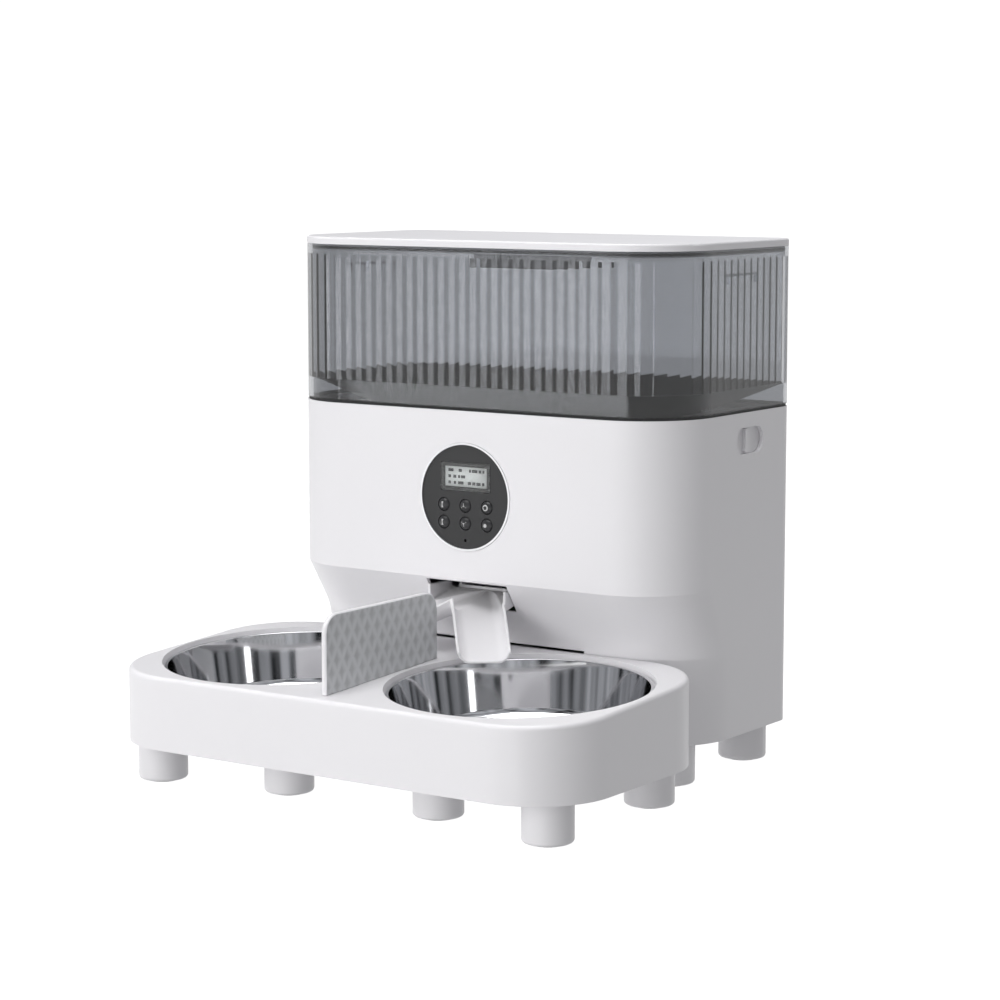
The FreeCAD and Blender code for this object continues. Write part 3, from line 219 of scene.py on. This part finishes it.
def piece(name, tool, slot, body, replaced=(), extra=()):
    """Turn a bmesh into a piece with its finish, on its body."""
    bmesh.ops.recalc_face_normals(tool, faces=tool.faces)
    data = bpy.data.meshes.new(name)
    tool.to_mesh(data)
    tool.free()
    data.shade_smooth()
    made = bpy.data.objects.new(name, data)
    bpy.context.scene.collection.objects.link(made)
    for material in (slot, *extra):
        data.materials.append(finish[material])
    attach(made, body)
    if replaced:
        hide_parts(*replaced)
    return made


def arc(centre, radius, start, end, steps):
    """Points on a circle in a plane, angles in degrees."""
    angles = [math.radians(start + (end - start) * k / steps) for k in range(steps + 1)]
    return [(centre[0] + radius * math.cos(a), centre[1] + radius * math.sin(a)) for a in angles]


def lathe(tool, profile, segments, place):
    """Turn a profile of radius and height about the Z axis, then set it in place.
    A radius of zero closes the surface."""
    rings = []
    for radius, height in profile:
        if radius < 1e-9:
            rings.append([tool.verts.new(place @ Vector((0, 0, height)))])
            continue
        ring = []
        for k in range(segments):
            angle = 2 * math.pi * k / segments
            point = Vector((radius * math.cos(angle), radius * math.sin(angle), height))
            ring.append(tool.verts.new(place @ point))
        rings.append(ring)
    for low, high in zip(rings, rings[1:]):
        for k in range(segments):
            after = (k + 1) % segments
            corners = [low[k % len(low)], low[after % len(low)],
                       high[after % len(high)], high[k % len(high)]]
            tool.faces.new(list(dict.fromkeys(corners)))


def block(tool, low, high, bevel=0.0, material=0):
    """A box between two corners, its edges rounded."""
    size = [b - a for a, b in zip(low, high)]
    centre = [(a + b) / 2 for a, b in zip(low, high)]
    place = Matrix.Translation(centre) @ Matrix.Diagonal((*size, 1))
    made = bmesh.ops.create_cube(tool, size=1.0, matrix=place)
    faces = {face for vert in made["verts"] for face in vert.link_faces}
    for face in faces:
        face.material_index = material
    if bevel:
        edges = list({edge for vert in made["verts"] for edge in vert.link_edges})
        bmesh.ops.bevel(tool, geom=edges, offset=bevel, segments=2, profile=0.5, affect="EDGES")


def smoothstep(low, high, value):
    share = min(1.0, max(0.0, (value - low) / (high - low)))
    return share * share * (3 - 2 * share)


# ---------------------------------------------------------------- tray surface

TRAY_RISE = 9.5 * MM
TRAY_RUN = 189.5 * MM
TRAY_SLOPE = math.atan(TRAY_RISE / TRAY_RUN)
TRAY_FRONT = 49 * MM
TRAY_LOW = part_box("tray")[0]


def surface_at(y):
    """Height of the tray's sloping top."""
    return TRAY_LOW.z + TRAY_FRONT + (y - TRAY_LOW.y) * math.tan(TRAY_SLOPE)


# ---------------------------------------------------------------- bowls

BOWL_RIM = 86.5 * MM
BOWL_INSIDE = 83.5 * MM
BOWL_FLOOR = 79.5 * MM
BOWL_DEPTH = 36 * MM
BOWL_SHEET = 0.8 * MM
BOWL_THICK = 1.3 * MM
BOWL_ROUND = 6 * MM
BOWL_SEGMENTS = 160


def steel_bowl(node):
    """A spun steel bowl: steep walls, a rounded floor corner and a rolled rim."""
    low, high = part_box(node)
    centre_x = (low.x + high.x) / 2
    centre_y = (low.y + high.y) / 2
    centre_z = high.z - BOWL_RIM * math.sin(TRAY_SLOPE) - BOWL_THICK * math.cos(TRAY_SLOPE)
    place = Matrix.Translation((centre_x, centre_y, centre_z)) @ Matrix.Rotation(TRAY_SLOPE, 4, "X")
    lean = math.degrees(math.atan((BOWL_INSIDE - BOWL_FLOOR) / BOWL_DEPTH))
    inner_corner = (BOWL_FLOOR - BOWL_ROUND, -BOWL_DEPTH + BOWL_ROUND)
    outer_corner = (BOWL_FLOOR + BOWL_SHEET - BOWL_ROUND, -BOWL_DEPTH - BOWL_SHEET + BOWL_ROUND)
    bead = BOWL_THICK / 2
    profile = [(0, -BOWL_DEPTH), (BOWL_FLOOR * 0.5, -BOWL_DEPTH)]
    profile += arc(inner_corner, BOWL_ROUND, -90, -lean, 10)
    profile += [(BOWL_INSIDE - 0.4 * MM, -3 * MM)]
    profile += arc((BOWL_INSIDE + bead + 0.15 * MM, bead), bead, 180, 90, 5)
    profile += arc((BOWL_RIM - bead, bead), bead, 90, -90, 8)
    profile += [(BOWL_INSIDE + BOWL_SHEET + 0.6 * MM, 0),
                (BOWL_INSIDE + BOWL_SHEET - 0.2 * MM, -1.2 * MM)]
    profile += arc(outer_corner, BOWL_ROUND, -lean, -90, 8)
    profile += [(0, -BOWL_DEPTH - BOWL_SHEET)]
    tool = bmesh.new()
    lathe(tool, profile, BOWL_SEGMENTS, place)
    return piece(node + "_spun", tool, "polished_steel", node, (node,))


# ---------------------------------------------------------------- divider

BLADE_CORNER = 12 * MM
BLADE_EDGE = 0.7 * MM
BLADE_GRID = (168, 72)
TENON_HALF = 10 * MM
TENON_PLACE = 25 * MM
TENON_DROP = 7 * MM


def diamonds(y, z):
    """Depth of the diamond hollows at a place on the blade's face."""
    across, up = y / RELIEF["pitch"], z / RELIEF["repeat"]
    near = max(abs((across + sign * up) % 1 - 0.5) for sign in (-1, 1))
    return RELIEF["depth"] * (1 - smoothstep(HOLLOW_END, RIDGE_START, near))


def divider_blade():
    """The plate between the bowls, with diamond hollows inside a plain border."""
    low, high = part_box("bowl_divider")
    half = (high.x - low.x) / 2
    front, rear, top = low.y, high.y, high.z
    length = rear - front
    columns, rows = BLADE_GRID

    def foot(y):
        return surface_at(y) + 0.3 * MM

    def edge_of(y, inset):
        near = min(y - front, rear - y) - inset
        reach = BLADE_CORNER - inset
        drop = reach - math.sqrt(max(0.0, reach ** 2 - max(0.0, reach - near) ** 2))
        return top - inset - drop

    def grid(sign):
        made = []
        for i in range(columns + 1):
            share = i / columns
            spread = share - math.sin(4 * math.pi * share) * 0.02
            y = front + BLADE_EDGE + (length - 2 * BLADE_EDGE) * spread
            low_z, high_z = foot(y), edge_of(y, BLADE_EDGE)
            line = []
            for j in range(rows + 1):
                z = low_z + (high_z - low_z) * j / rows
                nearest = min(y - front, rear - y, edge_of(y, 0) - z, z - low_z + 2 * MM)
                sink = diamonds(y, z) * smoothstep(0, 1.2 * MM, nearest - RELIEF["border"])
                line.append(tool.verts.new((sign * (half - sink), y, z)))
            made.append(line)
        for i in range(columns):
            for j in range(rows):
                tool.faces.new((made[i][j], made[i + 1][j], made[i + 1][j + 1], made[i][j + 1]))
        bottom = [made[i][0] for i in range(columns + 1)]
        upper = [made[i][rows] for i in range(columns - 1, -1, -1)]
        first = [made[0][j] for j in range(rows - 1, 0, -1)]
        return bottom + made[columns][1:] + upper + first

    tool = bmesh.new()
    loops = [grid(1), grid(-1)]
    middle = Vector((0, (front + rear) / 2, (foot(front) + top) / 2))
    rims = []
    for loop, sign in zip(loops, (1, -1)):
        rim = []
        for vert in loop:
            y, z = vert.co.y, vert.co.z
            out_y = front if y < middle.y else rear
            side = abs(out_y - y) <= BLADE_EDGE * 1.01
            turn = max(0.0, BLADE_CORNER - min(y - front, rear - y))
            if z <= foot(y) + 1e-7:
                moved = (out_y if side else y, z)
            elif side and z < top - BLADE_CORNER:
                moved = (out_y, z)
            else:
                corner_y = min(max(y, front + BLADE_CORNER), rear - BLADE_CORNER)
                way = Vector((0, 1))
                if turn:
                    way = Vector((y - corner_y, z - (top - BLADE_CORNER))).normalized()
                moved = (y + way.x * BLADE_EDGE, z + way.y * BLADE_EDGE)
            rim.append(tool.verts.new((sign * (half - BLADE_EDGE), *moved)))
        rims.append(rim)
        for k in range(len(loop)):
            after = (k + 1) % len(loop)
            tool.faces.new((loop[k], loop[after], rim[after], rim[k])).material_index = 1
    for k in range(len(rims[0])):
        after = (k + 1) % len(rims[0])
        tool.faces.new((rims[0][k], rims[0][after], rims[1][after], rims[1][k])).material_index = 1
    for y in (front + TENON_PLACE, rear - TENON_PLACE):
        block(tool, (-1.5 * MM, y - TENON_HALF, surface_at(y) - TENON_DROP),
              (1.5 * MM, y + TENON_HALF, surface_at(y) + 1 * MM), 0.3 * MM)
    return piece("divider_blade", tool, "grey_panel", "divider", ("bowl_divider",), ("white_shell",))


# ---------------------------------------------------------------- chute

CHUTE_VOXEL = 0.55 * MM
CHUTE_PASSES = 7


def soft_chute():
    """The moulded chute with every edge rounded, as a mould leaves it."""
    source = nodes["chute"]
    data = source.data.copy()
    made = bpy.data.objects.new("chute_moulded", data)
    bpy.context.scene.collection.objects.link(made)
    remesh = made.modifiers.new("even", "REMESH")
    remesh.mode = "VOXEL"
    remesh.voxel_size = CHUTE_VOXEL
    soften = made.modifiers.new("soften", "SMOOTH")
    soften.factor = 0.5
    soften.iterations = CHUTE_PASSES
    bpy.context.view_layer.update()
    ready = bpy.data.meshes.new_from_object(made.evaluated_get(bpy.context.evaluated_depsgraph_get()))
    made.modifiers.clear()
    made.data = ready
    ready.materials.clear()
    ready.materials.append(finish["white_shell"])
    ready.shade_smooth()
    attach(made, "housing")
    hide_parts("chute")
    return made


# ---------------------------------------------------------------- control panel

BUTTON_RADIUS = 4.3 * MM
DOME_RISE = 2.3 * MM
ICONS = ("bar", "up", "ring", "bar", "down", "dot")
ICON_LIFT = 0.16 * MM
ICON_SHARE = 0.48
DISC_STEPS = 16


def dome_depth(radius, front):
    """Y of the dome's face at a distance from its middle; the dome's tip stands at front."""
    sphere = (BUTTON_RADIUS ** 2 + DOME_RISE ** 2) / (2 * DOME_RISE)
    return front + sphere - math.sqrt(max(0.0, sphere ** 2 - radius ** 2))


def icon(tool, kind, centre, front):
    """A small plain mark that follows the dome."""
    def place(x, z):
        return Vector((centre[0] + x, dome_depth(math.hypot(x, z), front) - ICON_LIFT, centre[1] + z))

    unit = BUTTON_RADIUS * ICON_SHARE
    if kind in ("up", "down"):
        flip = 1 if kind == "up" else -1
        outline = [(-unit, -flip * unit * 0.6), (unit, -flip * unit * 0.6), (0, flip * unit)]
    elif kind == "bar":
        half = unit * 0.35
        outline = [(-half, -unit), (half, -unit), (half, unit), (-half, unit)]
    else:
        outline = arc((0, 0), unit * 0.62, 0, 360, DISC_STEPS)[:-1]
    if kind == "ring":
        inner = [tool.verts.new(place(x, z)) for x, z in outline]
        outer = [tool.verts.new(place(x * 1.7, z * 1.7)) for x, z in outline]
        for k in range(DISC_STEPS):
            after = (k + 1) % DISC_STEPS
            tool.faces.new((inner[k], inner[after], outer[after], outer[k])).material_index = 1
        return
    corners = [tool.verts.new(place(x, z)) for x, z in outline]
    middle = tool.verts.new(place(0, 0))
    for k in range(len(corners)):
        tool.faces.new((corners[k], corners[(k + 1) % len(corners)], middle)).material_index = 1


def dome_button(index):
    """A glossy dome on its stem and flange."""
    name = "button_%d" % index
    low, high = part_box(name)
    centre = ((low.x + high.x) / 2, (low.z + high.z) / 2)
    front = low.y - 1.1 * MM
    back = high.y
    flange = (high.x - low.x) / 2
    place = Matrix.Translation((centre[0], 0, centre[1])) @ Matrix.Rotation(math.radians(90), 4, "X")
    steps = 10
    profile = [(0, -front)]
    for k in range(1, steps + 1):
        radius = BUTTON_RADIUS * k / steps
        profile.append((radius, -dome_depth(radius, front)))
    profile += [(BUTTON_RADIUS, -back + 2.2 * MM), (flange, -back + 2.1 * MM),
                (flange, -back), (0, -back)]
    tool = bmesh.new()
    lathe(tool, profile, 48, place)
    icon(tool, ICONS[index - 1], centre, front)
    return piece("dome_%d" % index, tool, "button_rubber", name, (name,), ("mark_print",))


# Each row of the display: its height, then where each dash starts and its length, in millimetres.
DASH_ROWS = (
    (4.2, ((-14.5, 4.2), (-6, 2.6), (2.5, 1.6), (4.8, 4.6), (10.2, 2.4), (13.4, 1.6))),
    (0.0, ((-14.5, 2.0), (-10.5, 2.4), (-6.5, 1.6), (-4.2, 3.4))),
    (-4.2, ((-14.5, 2.0), (-10, 1.6), (-6.5, 4.4), (1.5, 2.6), (5, 2.6), (8.5, 3.4), (13, 2))),
)
DASH_HALF = 1.0


def display_face():
    """The light display behind its window: a dark mask and rows of plain dashes."""
    low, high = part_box("display_lens")
    centre_x, centre_z = (low.x + high.x) / 2, (low.z + high.z) / 2
    back = high.y + 0.05 * MM
    half_x, half_z = 17.1 * MM, 6.8 * MM
    tool = bmesh.new()
    block(tool, (centre_x - half_x, back + 0.3 * MM, centre_z - half_z),
          (centre_x + half_x, back + 0.6 * MM, centre_z + half_z))
    face = back + 0.28 * MM
    for height, dashes in DASH_ROWS:
        for start, length in dashes:
            left, right = centre_x + start * MM, centre_x + (start + length) * MM
            block(tool, (left, face - 0.04 * MM, centre_z + (height - DASH_HALF) * MM),
                  (right, face + 0.1 * MM, centre_z + (height + DASH_HALF) * MM), material=1)
    piece("display_dashes", tool, "display", "housing", (), ("mark_dark",))
    tool = bmesh.new()
    outer_x, outer_z = 20.1 * MM, 9.4 * MM
    for x0, x1, z0, z1 in ((-outer_x, outer_x, half_z, outer_z), (-outer_x, outer_x, -outer_z, -half_z),
                           (-outer_x, -half_x, -half_z, half_z), (half_x, outer_x, -half_z, half_z)):
        block(tool, (centre_x + x0, back, centre_z + z0),
              (centre_x + x1, back + 0.25 * MM, centre_z + z1))
    piece("display_mask", tool, "black_part", "housing")


for bowl_node in ("bowl_left", "bowl_right"):
    steel_bowl(bowl_node)
divider_blade()
soft_chute()
for number in range(1, 7):
    dome_button(number)
display_face()


# ---------------------------------------------------------------- stage

FLOOR_RADIUS = 30
BACKDROP = 1.05
FILL = 0.34
# Each light: name, place, size, watts, and whether polished pieces mirror it.
LIGHTS = (
    ("key", (-0.5, -2.1, 0.75), (2.4, 2.0), 17, False),
    ("low_front", (-0.5, -2.3, 0.05), (2.4, 0.4), 26, False),
    ("overhead", (0, -0.2, 2.2), (1.6, 1.6), 30, True),
    ("spark", (-2.2, -1.6, 0.9), (0.5, 0.5), 3, True),
)
MIRRORED = 0.7
AIM = Vector((0, 0, 0.18))
CAMERA = Vector((1.07595, -1.52253, 0.42486))
CAMERA_LENS = 100.7
CAMERA_TURN = (90 - 7.30, 0, 34.52)


def stage():
    """Plain pale floor, soft light and the camera."""
    scene = bpy.context.scene
    tool = bmesh.new()
    bmesh.ops.create_circle(tool, cap_ends=True, segments=64, radius=FLOOR_RADIUS)
    data = bpy.data.meshes.new("floor")
    tool.to_mesh(data)
    tool.free()
    floor = bpy.data.objects.new("floor", data)
    scene.collection.objects.link(floor)
    material, tree, main = shader("floor_pale", (0.25, 0.25, 0.25), 0.9)
    main.inputs["Emission Color"].default_value = (1, 1, 1, 1)
    main.inputs["Emission Strength"].default_value = 1.0
    main.inputs["Specular IOR Level"].default_value = 0
    data.materials.append(material)
    floor.visible_diffuse = False

    world = bpy.data.worlds.new("studio")
    scene.world = world
    world.use_nodes = True
    tree = world.node_tree
    tree.nodes.clear()
    out = tree.nodes.new("ShaderNodeOutputWorld")
    rays = tree.nodes.new("ShaderNodeLightPath")
    backdrop, fill, banded = (tree.nodes.new("ShaderNodeBackground") for _ in range(3))
    backdrop.inputs["Color"].default_value = (1, 1, 1, 1)
    backdrop.inputs["Strength"].default_value = BACKDROP
    fill.inputs["Color"].default_value = (0.98, 0.985, 1, 1)
    fill.inputs["Strength"].default_value = FILL
    around = tree.nodes.new("ShaderNodeTexCoord")
    squeeze = tree.nodes.new("ShaderNodeMapping")
    squeeze.inputs["Scale"].default_value = (1, 1, 0.12)
    bands = tree.nodes.new("ShaderNodeTexNoise")
    bands.inputs["Scale"].default_value = 3.2
    bands.inputs["Detail"].default_value = 2
    tones = tree.nodes.new("ShaderNodeValToRGB")
    tones.color_ramp.elements[0].position = 0.36
    tones.color_ramp.elements[1].position = 0.66
    tones.color_ramp.elements[0].color = (0.02, 0.022, 0.025, 1)
    tones.color_ramp.elements[1].color = (0.72, 0.74, 0.78, 1)
    tree.links.new(around.outputs["Generated"], squeeze.inputs["Vector"])
    tree.links.new(squeeze.outputs["Vector"], bands.inputs["Vector"])
    tree.links.new(bands.outputs["Fac"], tones.inputs["Fac"])
    tree.links.new(tones.outputs["Color"], banded.inputs["Color"])
    banded.inputs["Strength"].default_value = MIRRORED
    first, second = (tree.nodes.new("ShaderNodeMixShader") for _ in range(2))
    tree.links.new(rays.outputs["Is Diffuse Ray"], first.inputs[0])
    tree.links.new(backdrop.outputs[0], first.inputs[1])
    tree.links.new(fill.outputs[0], first.inputs[2])
    tree.links.new(rays.outputs["Is Glossy Ray"], second.inputs[0])
    tree.links.new(first.outputs[0], second.inputs[1])
    tree.links.new(banded.outputs[0], second.inputs[2])
    tree.links.new(second.outputs[0], out.inputs["Surface"])

    for name, spot, size, power, mirrored in LIGHTS:
        lamp = bpy.data.lights.new(name, "AREA")
        lamp.shape = "RECTANGLE"
        lamp.size, lamp.size_y = size
        lamp.energy = power
        lamp_object = bpy.data.objects.new(name, lamp)
        scene.collection.objects.link(lamp_object)
        lamp_object.location = spot
        aim = AIM - Vector(spot)
        lamp_object.rotation_euler = aim.to_track_quat("-Z", "Y").to_euler()
        lamp_object.visible_camera = False
        lamp_object.visible_glossy = mirrored

    eye = bpy.data.cameras.new("camera")
    eye.lens = CAMERA_LENS
    eye.sensor_width = 36
    camera = bpy.data.objects.new("camera", eye)
    scene.collection.objects.link(camera)
    camera.location = CAMERA
    camera.rotation_euler = [math.radians(angle) for angle in CAMERA_TURN]
    scene.camera = camera
    scene.view_settings.view_transform = "Standard"


stage()
